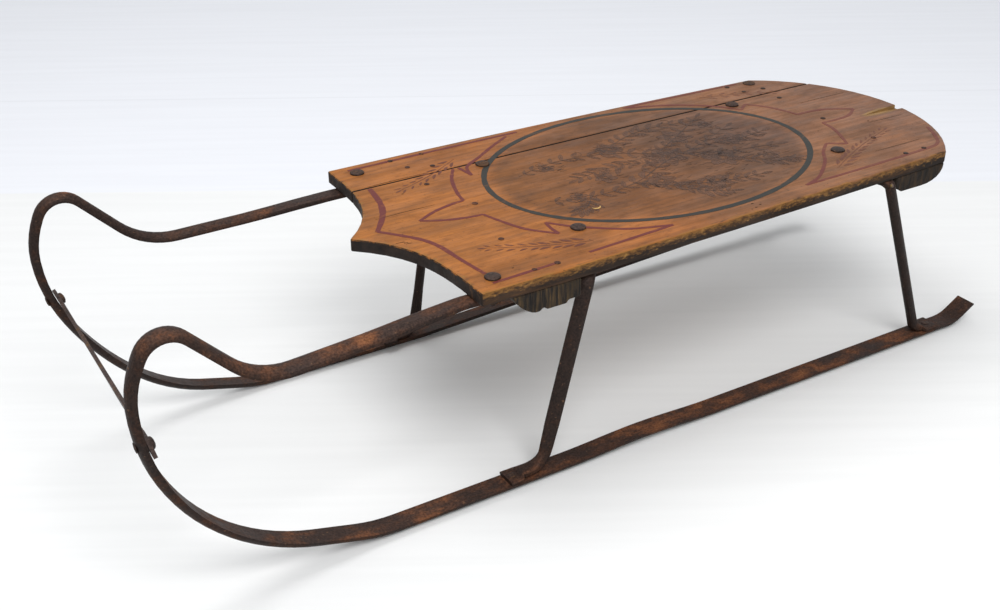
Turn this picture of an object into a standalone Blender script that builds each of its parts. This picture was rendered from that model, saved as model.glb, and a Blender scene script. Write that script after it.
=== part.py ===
"""A child's swan-neck sled: a split plank deck on two bent bench irons and two half-round runners.

+X points forward, +Y to the left, +Z up. The origin is on the floor, under the middle of the sled.
Setbacks are measured to the rear from the shoulder line at the deck's front corners.
"""

import bisect
import math
from typing import NamedTuple

import bmesh
import bpy
from mathutils import Matrix, Quaternion, Vector

COLLECTION = "childrens_sled"
CUTTERS = "childrens_sled_cutters"

# The runners' centre lines stand this far apart, and the deck, cleats and irons follow them.
TRACK = 0.264

# Deck plank, with a pointed front edge and a rear edge that is an arc through unlike corners.
DECK_TOP_HEIGHT = 0.200
DECK_THICKNESS = 0.012
DECK_FRONT_OVERHANG = 0.009
DECK_REAR_NARROWING = 0.0135
DECK_SIDE_LENGTH = 0.524
DECK_RIGHT_CUT_BACK = 0.026
DECK_REAR_DEPTH = 0.066
DECK_POINT_REACH = 0.0448
DECK_SCOOP_POWER = 3.6
DECK_EDGE_ROUNDING = 0.0016
SPLIT_OFFSET = 0.086
SPLIT_WIDTH = 0.0007

# The splinter that is missing from the top of the deck's rear edge.
CHIP_OFFSET = 0.0165
CHIP_LENGTH = 0.046
CHIP_WIDTH = 0.015
CHIP_TIP_WIDTH = 0.0015
CHIP_TIP_DEPTH = 0.0005
CHIP_EDGE_DEPTH = 0.004

# Cleats: wooden battens across the underside of the deck.
CLEAT_END_INSET = 0.0005
CLEAT_EDGE_ROUNDING = 0.0011
CLEAT_END_ZONE = 0.020
FRONT_CLEAT_SETBACK = 0.0285
FRONT_CLEAT_LENGTH = 0.065
FRONT_CLEAT_THICKNESS = 0.0195
FRONT_CLEAT_NOSE = 0.0215
FRONT_CLEAT_FULLNESS = 1.4
REAR_CLEAT_LENGTH = 0.068
REAR_CLEAT_THICKNESS = 0.017
REAR_CLEAT_OVERRUN = 0.004
REAR_CLEAT_NOSE = 0.030
REAR_CLEAT_FULLNESS = 2.2
REAR_CLEAT_CHAMFER_LENGTH = 0.010
REAR_CLEAT_CHAMFER_HEIGHT = 0.0055

# The left end of the front cleat has a notch and a broken rear corner.
NOTCH_SHARE = 0.45
NOTCH_WIDTH = 0.0075
NOTCH_DEPTH = 0.003
BREAK_SHARE = 0.79
BREAK_HEIGHT = 0.0033
BREAK_REACH = 0.012

# Runners: half-round bar, flat side inside the loop, hammered flat at both ends.
RUNNER_THICKNESS = 0.0072
TAIL_RISE_GAP = 0.003
TAIL_RISE_LENGTH = 0.049
TAIL_HEIGHT = 0.019
TAIL_BEND_TANGENT = 0.018
TAIL_WIDTH = 0.021
TAIL_THICKNESS = 0.003
TAIL_FLAT_LENGTH = 0.024
TAIL_TAPER_LENGTH = 0.026
FRONT_REACH = 0.2785
FRONT_CURVE_RADIUS = 0.1745
FRONT_CURVE_HEIGHT = 0.183
FRONT_RAMP_ANGLE = math.radians(15.2)
FRONT_RAMP_RADIUS = 0.140
NECK_FACE_HEIGHT = 0.2045
NECK_FACE_RADIUS = 0.090
NECK_PEAK_HEIGHT = 0.2568
NECK_PEAK_RADIUS = 0.024
NECK_DIP_INSET = 0.0978
NECK_DIP_RADIUS = 0.060
NECK_SEAT_LEAD = 0.008
NECK_SEAT_RADIUS = 0.120
NECK_TURN_IN = 0.011
NECK_END_CLEARANCE = 0.001
NECK_END_WIDTH = 0.0155
NECK_END_THICKNESS = 0.005
NECK_FLAT_LENGTH = 0.030
NECK_TAPER_LENGTH = 0.090

# Hard use has bent the runners: the left one is lifted in a short wave behind its front foot, and the
# right one rises from there to its tail and has its front curve pushed in.
LEFT_LIFT_SETBACK = 0.170
LEFT_LIFT_LENGTH = 0.170
LEFT_LIFT_HEIGHT = 0.0027
LIFT_STEPS = 12
RIGHT_RISE_START = 0.088
RIGHT_RISE_ANGLE = math.radians(2.7)
RIGHT_RISE_RADIUS = 0.300
DENT_START = math.radians(12)
DENT_END = math.radians(96)
DENT_DEPTH = 0.0065

# Bench irons: oval bar, hammered to thin lugs on the runners and to a flat bar under the deck.
BENCH_LUG_WIDTH = 0.021
BENCH_LUG_THICKNESS = 0.0034
BENCH_FOOT_WIDTH = 0.0135
BENCH_FOOT_THICKNESS = 0.0065
BENCH_FOOT_TAPER = 0.0024
BENCH_CROSS_WIDTH = 0.014
BENCH_CROSS_THICKNESS = 0.006
BENCH_CROSS_RADIUS = 0.030
LEG_TWIST_SHARE = 0.3
FRONT_CLEAT_TO_KNEE = 0.0125
REAR_CLEAT_TO_KNEE = 0.0100

# Spreader: a thin strap riveted to the inner faces of both front curves, wider at its ends.
SPREADER_LEFT_HEIGHT = 0.153
SPREADER_RIGHT_HEIGHT = 0.1435
SPREADER_WIDTH = 0.009
SPREADER_THICKNESS = 0.003
SPREADER_LUG_WIDTH = 0.013
SPREADER_LUG_INSET = 0.007
SPREADER_LUG_TAPER = 0.007
SPREADER_OVERHANG = 0.012
SPREADER_SLANT = 0.006

CONTACT_GAP = 0.0003
SPREADER_GAP = 0.0005
ARC_SAG = 0.0001
LARGEST_ARC_STEP = math.radians(12)
STRAIGHT_STEP = 0.030
CLOSEST_RINGS = 0.0008
FLOOR_TOLERANCE = 0.00001
FLATTEST_TOE = 0.99
HALF_ROUND_SIDES = 12
ROUND_SIDES = 16
HALF_ROUND = 2.0
FLAT_BAR = 5.0
FRONT_EDGE_STEPS = 12
REAR_EDGE_STEPS = 18
CLEAT_NOSE_STEPS = 6
CLEAT_END_RINGS = 4
BEVEL_ANGLE = 40
WOOD_SHARP_ANGLE = 35
IRON_SHARP_ANGLE = 50

DECK_UNDERSIDE = DECK_TOP_HEIGHT - DECK_THICKNESS
UNDER_DECK = DECK_UNDERSIDE - CONTACT_GAP
DECK_FRONT_HALF = TRACK / 2 + DECK_FRONT_OVERHANG
REAR_CLEAT_SETBACK = DECK_SIDE_LENGTH + REAR_CLEAT_OVERRUN - REAR_CLEAT_LENGTH
NECK_END_SETBACK = FRONT_CLEAT_SETBACK - NECK_END_CLEARANCE


class Runner(NamedTuple):
    """What differs between the runners: the side, 1 for left, the neck's bends and the bar's widths."""
    side: int
    reach: float
    peak_inset: float
    dip_height: float
    bar_width: float
    face_width: float
    neck_width: float


LEFT_RUNNER = Runner(
    side=1,
    reach=FRONT_REACH,
    peak_inset=0.0262,
    dip_height=0.1826,
    bar_width=0.0195,
    face_width=0.0148,
    neck_width=0.0185,
)
RIGHT_RUNNER = Runner(
    side=-1,
    reach=FRONT_REACH - 0.002,
    peak_inset=0.0242,
    dip_height=0.1808,
    bar_width=0.015,
    face_width=0.0105,
    neck_width=0.0132,
)


class Bench(NamedTuple):
    """The sizes of one bench iron. The knee, cross, heel and toe are places of its bends and ends."""
    knee_setback: float
    knee_inset: float
    knee_radius: float
    knee_to_cross: float
    cross_inset: float
    knee_to_heel: float
    heel_to_toe: float
    heel_radius: float
    lug_length: float
    leg_depth: float
    leg_width: float
    right_foot_back: float


FRONT_BENCH = Bench(
    knee_setback=FRONT_CLEAT_SETBACK + FRONT_CLEAT_LENGTH + FRONT_CLEAT_TO_KNEE,
    knee_inset=0.0,
    knee_radius=0.014,
    knee_to_cross=0.026,
    cross_inset=0.052,
    knee_to_heel=-0.043,
    heel_to_toe=-0.0365,
    heel_radius=0.018,
    lug_length=0.012,
    leg_depth=0.0132,
    leg_width=0.0068,
    right_foot_back=0.0155,
)
REAR_BENCH = Bench(
    knee_setback=REAR_CLEAT_SETBACK - REAR_CLEAT_TO_KNEE,
    knee_inset=0.003,
    knee_radius=0.006,
    knee_to_cross=-0.014,
    cross_inset=0.0575,
    knee_to_heel=0.064,
    heel_to_toe=0.0247,
    heel_radius=0.009,
    lug_length=0.0155,
    leg_depth=0.0105,
    leg_width=0.0095,
    right_foot_back=0.0,
)

REAR_TOE_SETBACK = REAR_BENCH.knee_setback + REAR_BENCH.knee_to_heel + REAR_BENCH.heel_to_toe
TAIL_RISE_SETBACK = REAR_TOE_SETBACK + TAIL_RISE_GAP
TAIL_SETBACK = TAIL_RISE_SETBACK + TAIL_RISE_LENGTH
# The sled's middle, measured from the shoulder line, becomes the origin.
MIDDLE = (FRONT_REACH - TAIL_SETBACK) / 2


def clear_scene():
    for old in list(bpy.data.objects):
        bpy.data.objects.remove(old)


def make_collection(name):
    collection = bpy.data.collections.new(name)
    bpy.context.scene.collection.children.link(collection)
    return collection


def make_material(name, colour, roughness, metallic):
    material = bpy.data.materials.new(name)
    material.use_nodes = True
    shader = material.node_tree.nodes["Principled BSDF"]
    shader.inputs["Base Color"].default_value = (*colour, 1.0)
    shader.inputs["Roughness"].default_value = roughness
    shader.inputs["Metallic"].default_value = metallic
    return material


def add_object(name, shape, collection):
    """Makes a named object of a bmesh given in shoulder-line coordinates, and frees the bmesh."""
    bmesh.ops.translate(shape, verts=shape.verts, vec=(-MIDDLE, 0, 0))
    bmesh.ops.recalc_face_normals(shape, faces=shape.faces)
    if shape.calc_volume(signed=True) < 0:
        bmesh.ops.reverse_faces(shape, faces=shape.faces)
    mesh = bpy.data.meshes.new(name)
    shape.to_mesh(mesh)
    shape.free()
    made = bpy.data.objects.new(name, mesh)
    collection.objects.link(made)
    return made


def finish(made, material, sharp_angle):
    made.data.materials.append(material)
    made.data.shade_smooth()
    made.data.set_sharp_from_angle(angle=math.radians(sharp_angle))


def round_edges(made, width, segments):
    bevel = made.modifiers.new("worn edges", "BEVEL")
    bevel.width = width
    bevel.segments = segments
    bevel.limit_method = "ANGLE"
    bevel.angle_limit = math.radians(BEVEL_ANGLE)


def ease(share):
    """Runs from 0 to 1 with level ends."""
    share = min(max(share, 0.0), 1.0)
    return share * share * (3 - 2 * share)


def blend(first, second, share):
    return [a + (b - a) * share for a, b in zip(first, second)]


def fillet(before, corner, after, radius):
    """Points of the arc that rounds a corner, from its first tangent point to its last."""
    back = (before - corner).normalized()
    ahead = (after - corner).normalized()
    half = back.angle(ahead) / 2
    centre = corner + (back + ahead).normalized() * radius / math.sin(half)
    start = corner + back * radius / math.tan(half) - centre
    axis = start.cross(corner - centre)
    turn = math.pi - 2 * half
    step = min(2 * math.acos(1 - ARC_SAG / radius), LARGEST_ARC_STEP)
    steps = max(2, math.ceil(turn / step))
    return [centre + Quaternion(axis, turn * i / steps) @ start for i in range(steps + 1)]


def bent_line(corners):
    """Points along a bent bar. Corners are (point, bend radius), and the two ends have no radius."""
    places = [Vector(place) for place, _ in corners]
    turns = [[places[0]]]
    for i in range(1, len(corners) - 1):
        turns.append(fillet(places[i - 1], places[i], places[i + 1], corners[i][1]))
    turns.append([places[-1]])
    line = list(turns[0])
    for turn in turns[1:]:
        start, stop = line[-1], turn[0]
        steps = max(1, math.ceil((stop - start).length / STRAIGHT_STEP))
        line += [start.lerp(stop, i / steps) for i in range(1, steps)]
        line += turn
    return line


def distances(line):
    run = [0.0]
    for a, b in zip(line, line[1:]):
        run.append(run[-1] + (b - a).length)
    return run


def with_stations(line, stations):
    """Adds points at the given distances along a line, unless it has one there already."""
    run = distances(line)
    spots = list(zip(run, line))
    for station in stations:
        if all(abs(station - there) > CLOSEST_RINGS for there in run):
            i = bisect.bisect(run, station) - 1
            share = (station - run[i]) / (run[i + 1] - run[i])
            spots.append((station, line[i].lerp(line[i + 1], share)))
    return [place for _, place in sorted(spots, key=lambda spot: spot[0])]


def sizes_along(keys, distance):
    """Section sizes at a distance, eased between keys of (distance, sizes)."""
    for (start, before), (stop, after) in zip(keys, keys[1:]):
        if distance <= stop:
            return blend(before, after, ease((distance - start) / (stop - start)))
    return keys[-1][1]


def loft(rings):
    """A closed solid through rings that have the same number of points."""
    shape = bmesh.new()
    loops = [[shape.verts.new(place) for place in ring] for ring in rings]
    count = len(loops[0])
    for loop, following in zip(loops, loops[1:]):
        for k in range(count):
            after = (k + 1) % count
            shape.faces.new((loop[k], loop[after], following[after], following[k]))
    shape.faces.new(loops[0])
    shape.faces.new(loops[-1])
    return shape


def sweep(line, side_at, section_at):
    """Lofts a bar along a line.

    side_at(tangent, place) is the sideways direction there, and section_at(distance) gives a ring's
    (sideways, inward) points.
    """
    run = distances(line)
    rings = []
    for i, place in enumerate(line):
        before = line[max(i - 1, 0)]
        after = line[min(i + 1, len(line) - 1)]
        tangent = (after - before).normalized()
        side = side_at(tangent, place)
        inward = tangent.cross(side)
        rings.append([place + side * a + inward * b for a, b in section_at(run[i])])
    return loft(rings)


def rounded(value, fullness):
    return math.copysign(abs(value) ** (2 / fullness), value)


def half_round(width, thickness, fullness):
    """A section with a flat side at its thickness, and a crowned side that squares up with its fullness."""
    points = []
    for k in range(HALF_ROUND_SIDES + 1):
        angle = math.pi * k / HALF_ROUND_SIDES
        crown = rounded(math.sin(angle), fullness)
        points.append((rounded(math.cos(angle), fullness) * width / 2, thickness * (1 - crown)))
    return points


def full_round(width, thickness, fullness, shift):
    points = []
    for k in range(ROUND_SIDES):
        angle = 2 * math.pi * (k + 0.5) / ROUND_SIDES
        across = rounded(math.cos(angle), fullness) * width / 2
        points.append((across, rounded(math.sin(angle), fullness) * thickness / 2 + shift))
    return points


def runner_side(tangent, place):
    across = Vector((0, 1, 0))
    return (across - tangent * across.dot(tangent)).normalized()


def right_rise(x):
    """How high the bent right runner lies off the floor at a place."""
    return max(0.0, -RIGHT_RISE_START - x) * math.tan(RIGHT_RISE_ANGLE)


def runner_line(runner):
    """The crowned side of a runner, from the tail tip over the swan neck to its end under the deck."""
    front = runner.reach
    ramp = math.tan(FRONT_RAMP_ANGLE)
    ramp_end_x = front - FRONT_CURVE_RADIUS * (1 - math.sin(FRONT_RAMP_ANGLE))
    ramp_end_z = FRONT_CURVE_HEIGHT - FRONT_CURVE_RADIUS * math.cos(FRONT_RAMP_ANGLE)
    y = runner.side * TRACK / 2
    seat = runner.side * (TRACK / 2 - NECK_TURN_IN)
    tail_angle = math.atan2(TAIL_HEIGHT, TAIL_RISE_LENGTH - TAIL_BEND_TANGENT)
    tail_radius = TAIL_BEND_TANGENT / math.tan(tail_angle / 2)
    tail_corner = -TAIL_RISE_SETBACK - TAIL_BEND_TANGENT
    front_corners = [
        ((ramp_end_x - ramp_end_z / ramp, y, 0), FRONT_RAMP_RADIUS),
        ((front, y, ramp_end_z + (front - ramp_end_x) * ramp), FRONT_CURVE_RADIUS),
        ((front, y, NECK_FACE_HEIGHT), NECK_FACE_RADIUS),
        ((front - runner.peak_inset, y, NECK_PEAK_HEIGHT), NECK_PEAK_RADIUS),
        ((front - NECK_DIP_INSET, y, runner.dip_height), NECK_DIP_RADIUS),
        ((NECK_SEAT_LEAD, seat, UNDER_DECK), NECK_SEAT_RADIUS),
        ((-NECK_END_SETBACK, seat, UNDER_DECK), None),
    ]
    if runner == LEFT_RUNNER:
        tail = [((-TAIL_SETBACK, y, TAIL_HEIGHT), None), ((tail_corner, y, 0), tail_radius)]
        return lifted(bent_line(tail + front_corners))
    tail = [
        ((-TAIL_SETBACK, y, TAIL_HEIGHT + right_rise(-TAIL_SETBACK)), None),
        ((tail_corner, y, right_rise(tail_corner)), tail_radius),
        ((-RIGHT_RISE_START, y, 0), RIGHT_RISE_RADIUS),
    ]
    return dented(bent_line(tail + front_corners), front)


def lifted(line):
    """Bends a stretch of a runner's foot up off the floor in a low wave."""
    rear = LEFT_LIFT_SETBACK + LEFT_LIFT_LENGTH / 2
    first = next(i for i, place in enumerate(line) if abs(place.z) < FLOOR_TOLERANCE)
    start = distances(line)[first] - rear - line[first].x
    line = with_stations(line, [start + LEFT_LIFT_LENGTH * i / LIFT_STEPS for i in range(LIFT_STEPS + 1)])
    for place in line:
        share = (place.x + rear) / LEFT_LIFT_LENGTH
        if 0 < share < 1 and place.z < LEFT_LIFT_HEIGHT:
            place.z += LEFT_LIFT_HEIGHT * (1 - math.cos(2 * math.pi * share)) / 2
    return line


def dented(line, front):
    """Pushes a runner's front curve in towards its centre."""
    centre = Vector((front - FRONT_CURVE_RADIUS, line[0].y, FRONT_CURVE_HEIGHT))
    for place in line:
        spoke = place - centre
        share = (math.atan2(spoke.x, -spoke.z) - DENT_START) / (DENT_END - DENT_START)
        if 0 < share < 1 and spoke.x > 0:
            place -= spoke.normalized() * DENT_DEPTH * (1 - math.cos(2 * math.pi * share)) / 2
    return line


def make_runner(name, runner, line, material, collection):
    """Half-round bar, drawn narrower up the front face, that flattens towards both of its ends."""
    run = distances(line)
    length = run[-1]
    foot_end = next(d for d, place in zip(run, line) if place.x > runner.reach - FRONT_CURVE_RADIUS)
    face = max(zip(run, line), key=lambda spot: spot[1].x)[0]
    peak = max(zip(run, line), key=lambda spot: spot[1].z)[0]
    bar = (runner.bar_width, RUNNER_THICKNESS, HALF_ROUND)
    neck = (runner.neck_width, RUNNER_THICKNESS, HALF_ROUND)
    tail = (TAIL_WIDTH, TAIL_THICKNESS, FLAT_BAR)
    lug = (NECK_END_WIDTH, NECK_END_THICKNESS, FLAT_BAR)
    keys = [
        (0, tail),
        (TAIL_FLAT_LENGTH, tail),
        (TAIL_FLAT_LENGTH + TAIL_TAPER_LENGTH, bar),
        (foot_end, bar),
        (face, (runner.face_width, RUNNER_THICKNESS, HALF_ROUND)),
        (peak, neck),
        (length - NECK_FLAT_LENGTH - NECK_TAPER_LENGTH, neck),
        (length - NECK_FLAT_LENGTH, lug),
        (length, lug),
    ]

    def section_at(distance):
        return half_round(*sizes_along(keys, distance))

    line = with_stations(line, [distance for distance, _ in keys[1:-1]])
    finish(add_object(name, sweep(line, runner_side, section_at), collection), material, IRON_SHARP_ANGLE)


def bench_side(bench, side):
    """The corners and bend radii of one side of a bench bar's middle, from its toe to its cross bar."""
    high = UNDER_DECK - BENCH_CROSS_THICKNESS / 2
    y = side * TRACK / 2
    knee = -bench.knee_setback
    heel = knee - bench.knee_to_heel
    if side < 0:
        heel -= bench.right_foot_back
    toe = heel - bench.heel_to_toe
    on_runner = RUNNER_THICKNESS + CONTACT_GAP + BENCH_FOOT_THICKNESS / 2
    toe_height, heel_height = (on_runner + (right_rise(x) if side < 0 else 0) for x in (toe, heel))
    return [
        ((toe, y, toe_height), None),
        ((heel, y, heel_height), bench.heel_radius),
        ((knee, y - side * bench.knee_inset, high), bench.knee_radius),
        ((knee - bench.knee_to_cross, y - side * bench.cross_inset, high), BENCH_CROSS_RADIUS),
    ]


def bend_spans(corners):
    """How far along a bent bar its first two bends start and end."""
    spans = []
    run = 0.0
    for i in (1, 2):
        before, corner, after = (Vector(corners[k][0]) for k in (i - 1, i, i + 1))
        half_turn = (corner - before).angle(after - corner) / 2
        radius = corners[i][1]
        start = run + (corner - before).length - radius * math.tan(half_turn)
        spans.append((start, start + 2 * radius * half_turn))
        run = start + radius * (2 * half_turn - math.tan(half_turn))
    return spans


def bench_keys(bench, corners):
    """Section sizes from the toe: thin lug, square foot, oval leg, and a flat bar under the deck."""
    drop = math.copysign((BENCH_FOOT_THICKNESS - BENCH_LUG_THICKNESS) / 2, -bench.heel_to_toe)
    lug = (BENCH_LUG_WIDTH, BENCH_LUG_THICKNESS, FLAT_BAR, drop)
    foot = (BENCH_FOOT_WIDTH, BENCH_FOOT_THICKNESS, FLAT_BAR, 0)
    leg = (bench.leg_width, bench.leg_depth, HALF_ROUND, 0)
    cross = (BENCH_CROSS_THICKNESS, BENCH_CROSS_WIDTH, FLAT_BAR, 0)
    (heel_start, heel_end), (knee_start, knee_end) = bend_spans(corners)
    return [
        (0, lug),
        (bench.lug_length, lug),
        (bench.lug_length + BENCH_FOOT_TAPER, foot),
        (heel_start, foot),
        (heel_end, leg),
        (knee_start, leg),
        (knee_end, cross),
    ]


def make_bench(name, bench, material, collection):
    """A bar bent from the left toe up the leg, across under the deck, and down to the right toe.

    The leg's deep side points forward at the heel, and turns to stand across the bar under the deck.
    """
    left, right = bench_side(bench, 1), bench_side(bench, -1)
    left_keys, right_keys = bench_keys(bench, left), bench_keys(bench, right)
    line = bent_line(left + right[::-1])
    length = distances(line)[-1]
    high = left[2][0][2]
    turn = math.atan2(bench.knee_to_cross, bench.cross_inset)

    def section_at(distance):
        if distance < length / 2:
            return full_round(*sizes_along(left_keys, distance))
        return full_round(*sizes_along(right_keys, length - distance))

    def side_at(tangent, place):
        """Across the toe and leg, then up and down where the bar runs under the deck."""
        side = math.copysign(1, place.y)
        low = left[0][0][2] if side > 0 else right[0][0][2]
        if abs(tangent.x) > FLATTEST_TOE:
            return Vector((0, side, 0))
        angle = -turn * side * ease((place.z - low) / (high - low) / LEG_TWIST_SHARE)
        return tangent.cross(Vector((math.cos(angle), math.sin(angle), 0))).normalized()

    stations = [distance for distance, _ in left_keys[1:]]
    stations += [length - distance for distance, _ in right_keys[1:]]
    shape = sweep(with_stations(line, stations), side_at, section_at)
    finish(add_object(name, shape, collection), material, IRON_SHARP_ANGLE)


def half_width(x):
    """Half the deck's width at a place behind the shoulder line."""
    return DECK_FRONT_HALF - DECK_REAR_NARROWING * (x / DECK_SIDE_LENGTH) ** 2


def rear_arc():
    """The centre and radius of the deck's rear edge, and its two corners."""
    right_length = DECK_SIDE_LENGTH - DECK_RIGHT_CUT_BACK
    left = Vector((-DECK_SIDE_LENGTH, half_width(-DECK_SIDE_LENGTH)))
    right = Vector((-right_length, -half_width(-right_length)))
    chord = right - left
    radius = (chord.length_squared / 4 + DECK_REAR_DEPTH ** 2) / (2 * DECK_REAR_DEPTH)
    ahead = Vector((-chord.y, chord.x)).normalized()
    return (left + right) / 2 + ahead * (radius - DECK_REAR_DEPTH), radius, left, right


def rear_edge(y):
    """Where the arc of the deck's rear edge lies at a distance from the middle."""
    centre, radius, _, _ = rear_arc()
    return centre.x - math.sqrt(radius ** 2 - (y - centre.y) ** 2)


def side_points(corner):
    """Points along one side of the deck, from behind the shoulder line to its rear corner."""
    steps = math.ceil(-corner.x / (2 * STRAIGHT_STEP))
    places = [corner.x * i / steps for i in range(1, steps + 1)]
    return [(x, math.copysign(half_width(x), corner.y)) for x in places]


def deck_outline():
    """The plank's outline, anticlockwise from its right front corner."""
    outline = []
    for i in range(-FRONT_EDGE_STEPS, FRONT_EDGE_STEPS + 1):
        share = i / FRONT_EDGE_STEPS
        reach = DECK_POINT_REACH * (1 - abs(share)) ** DECK_SCOOP_POWER
        outline.append((reach, DECK_FRONT_HALF * share))
    centre, radius, left, right = rear_arc()
    outline += side_points(left)
    start = math.atan2(left.y - centre.y, left.x - centre.x)
    swing = 2 * math.asin((right - left).length / 2 / radius)
    for i in range(1, REAR_EDGE_STEPS):
        angle = start + swing * i / REAR_EDGE_STEPS
        outline.append((centre.x + radius * math.cos(angle), centre.y + radius * math.sin(angle)))
    return outline + side_points(right)[::-1]


def slab(outline, bottom, top):
    """An upright block over a flat outline."""
    return loft([[(x, y, z) for x, y in outline] for z in (bottom, top)])


def cut_away(shape, y, direction):
    """Removes what lies past y in the given direction, and closes the cut."""
    geometry = list(shape.verts) + list(shape.edges) + list(shape.faces)
    cut = bmesh.ops.bisect_plane(
        shape, geom=geometry, plane_co=(0, y, 0), plane_no=(0, direction, 0), clear_outer=True
    )["geom_cut"]
    bmesh.ops.holes_fill(shape, edges=[part for part in cut if isinstance(part, bmesh.types.BMEdge)])


def make_deck_board(name, split_side, direction, material, collection):
    shape = slab(deck_outline(), DECK_UNDERSIDE, DECK_TOP_HEIGHT)
    cut_away(shape, split_side, direction)
    board = add_object(name, shape, collection)
    finish(board, material, WOOD_SHARP_ANGLE)
    round_edges(board, DECK_EDGE_ROUNDING, 2)
    return board


def chip_edge(board, cutters):
    """Takes a splinter, thin at its tip and deeper at the edge, off the top of the deck's rear edge."""
    edge = rear_edge(CHIP_OFFSET)
    slope = (CHIP_EDGE_DEPTH - CHIP_TIP_DEPTH) / CHIP_LENGTH
    rings = []
    for x, half in ((edge + CHIP_LENGTH, CHIP_TIP_WIDTH), (edge - CHIP_WIDTH, CHIP_WIDTH)):
        floor = DECK_TOP_HEIGHT - CHIP_TIP_DEPTH - slope * (edge + CHIP_LENGTH - x)
        top = DECK_TOP_HEIGHT + CHIP_EDGE_DEPTH
        left, right = CHIP_OFFSET + half / 2, CHIP_OFFSET - half / 2
        rings.append([(x, left, floor), (x, right, floor), (x, right, top), (x, left, top)])
    cutter = add_object("rear_edge_splinter", loft(rings), cutters)
    cutter.hide_render = True
    cutter.display_type = "WIRE"
    cut = board.modifiers.new("missing splinter", "BOOLEAN")
    cut.operation = "DIFFERENCE"
    cut.solver = "EXACT"
    cut.object = cutter


def nose(length, thickness, nose_length, fullness):
    """A rounded edge as (share of length, share of thickness), from its top to its underside."""
    points = []
    for i in range(1, CLEAT_NOSE_STEPS + 1):
        angle = math.pi / 2 * i / CLEAT_NOSE_STEPS
        along = nose_length * (1 - rounded(math.cos(angle), fullness)) / length
        points.append((along, rounded(math.sin(angle), fullness)))
    return points


def front_cleat_profiles():
    """The front cleat's underside: a rounded nose and a flat run. Its left end is notched and broken."""
    sound = nose(FRONT_CLEAT_LENGTH, FRONT_CLEAT_THICKNESS, FRONT_CLEAT_NOSE, FRONT_CLEAT_FULLNESS)
    notch = NOTCH_WIDTH / 2 / FRONT_CLEAT_LENGTH
    wear = [
        (NOTCH_SHARE - notch, 0),
        (NOTCH_SHARE, NOTCH_DEPTH),
        (NOTCH_SHARE + notch, 0),
        (BREAK_SHARE, 0),
        (BREAK_SHARE + notch / 2, BREAK_HEIGHT),
        (1, BREAK_HEIGHT),
    ]
    worn = sound + [(along, 1 - lost / FRONT_CLEAT_THICKNESS) for along, lost in wear]
    return sound + [(along, 1) for along, _ in wear], worn


def rear_cleat_profiles():
    """The rear cleat's underside: a planed front edge, a flat run and a rounded rear edge."""
    down = 1 - REAR_CLEAT_CHAMFER_HEIGHT / REAR_CLEAT_THICKNESS
    front = [(0, down), (REAR_CLEAT_CHAMFER_LENGTH / REAR_CLEAT_LENGTH, 1)]
    rear = nose(REAR_CLEAT_LENGTH, REAR_CLEAT_THICKNESS, REAR_CLEAT_NOSE, REAR_CLEAT_FULLNESS)
    profile = front + [(1 - along, share) for along, share in reversed(rear)]
    return profile, profile


def make_cleat(name, setback, length, thickness, profiles, material, collection):
    """A batten across the deck that keeps inside the deck's rear edge.

    The profiles are the underside's (share of length, share of thickness), sound and at the left end.
    """
    sound, worn = profiles
    half = half_width(-setback - length / 2) - CLEAT_END_INSET
    insets = [CLEAT_END_ZONE * i / CLEAT_END_RINGS for i in range(CLEAT_END_RINGS + 1)]
    rings = []
    for y in [inset - half for inset in insets] + [half - inset for inset in reversed(insets)]:
        run = min(length, -rear_edge(y) - CLEAT_END_INSET - setback)
        wear = 1 - min((half - y) / BREAK_REACH, 1)
        ring = [(-setback, y, UNDER_DECK)]
        for (along, down), (_, worn_down) in zip(sound, worn):
            share = down + (worn_down - down) * wear
            ring.append((-setback - run * along, y, UNDER_DECK - thickness * share))
        rings.append(ring + [(-setback - run, y, UNDER_DECK)])
    cleat = add_object(name, loft(rings), collection)
    finish(cleat, material, WOOD_SHARP_ANGLE)
    round_edges(cleat, CLEAT_EDGE_ROUNDING, 1)


def inner_face(line, height):
    """A place on the inner face of a runner's front curve, and the direction of the bar there."""
    faces = []
    for before, place, after in zip(line, line[1:], line[2:]):
        along = (after - before).normalized()
        faces.append((place + along.cross(Vector((0, 1, 0))) * RUNNER_THICKNESS, along))
    for (low, along), (high, _) in zip(faces, faces[1:]):
        if low.x > 0 and low.z < height <= high.z:
            return low.lerp(high, (height - low.z) / (high.z - low.z)), along


def make_spreader(name, left_line, right_line, material, collection):
    """A strap that lies on the hollow inner faces of the front curves, with lugs cut off at a slant."""
    inner = FRONT_CURVE_RADIUS - RUNNER_THICKNESS
    hollow = inner - math.sqrt(inner ** 2 - (SPREADER_LUG_WIDTH / 2) ** 2)
    ends = []
    for line, height in ((left_line, SPREADER_LEFT_HEIGHT), (right_line, SPREADER_RIGHT_HEIGHT)):
        place, along = inner_face(line, height)
        inward = along.cross(Vector((0, 1, 0)))
        ends.append((place + inward * (SPREADER_GAP + hollow + SPREADER_THICKNESS / 2), along, inward))
    out = (ends[0][0] - ends[1][0]).normalized()
    stations = [
        (SPREADER_OVERHANG, SPREADER_LUG_WIDTH, SPREADER_SLANT),
        (-SPREADER_LUG_INSET, SPREADER_LUG_WIDTH, 0),
        (-SPREADER_LUG_INSET - SPREADER_LUG_TAPER, SPREADER_WIDTH, 0),
    ]
    rings = []
    for (place, along, inward), direction, order in ((ends[0], out, 1), (ends[1], -out, -1)):
        for reach, width, slant in stations[::order]:
            low = place + direction * reach - along * width / 2
            high = place + direction * (reach - slant) + along * width / 2
            depth = inward * SPREADER_THICKNESS / 2
            rings.append([low - depth, low + depth, high + depth, high - depth])
    finish(add_object(name, loft(rings), collection), material, WOOD_SHARP_ANGLE)


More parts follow.
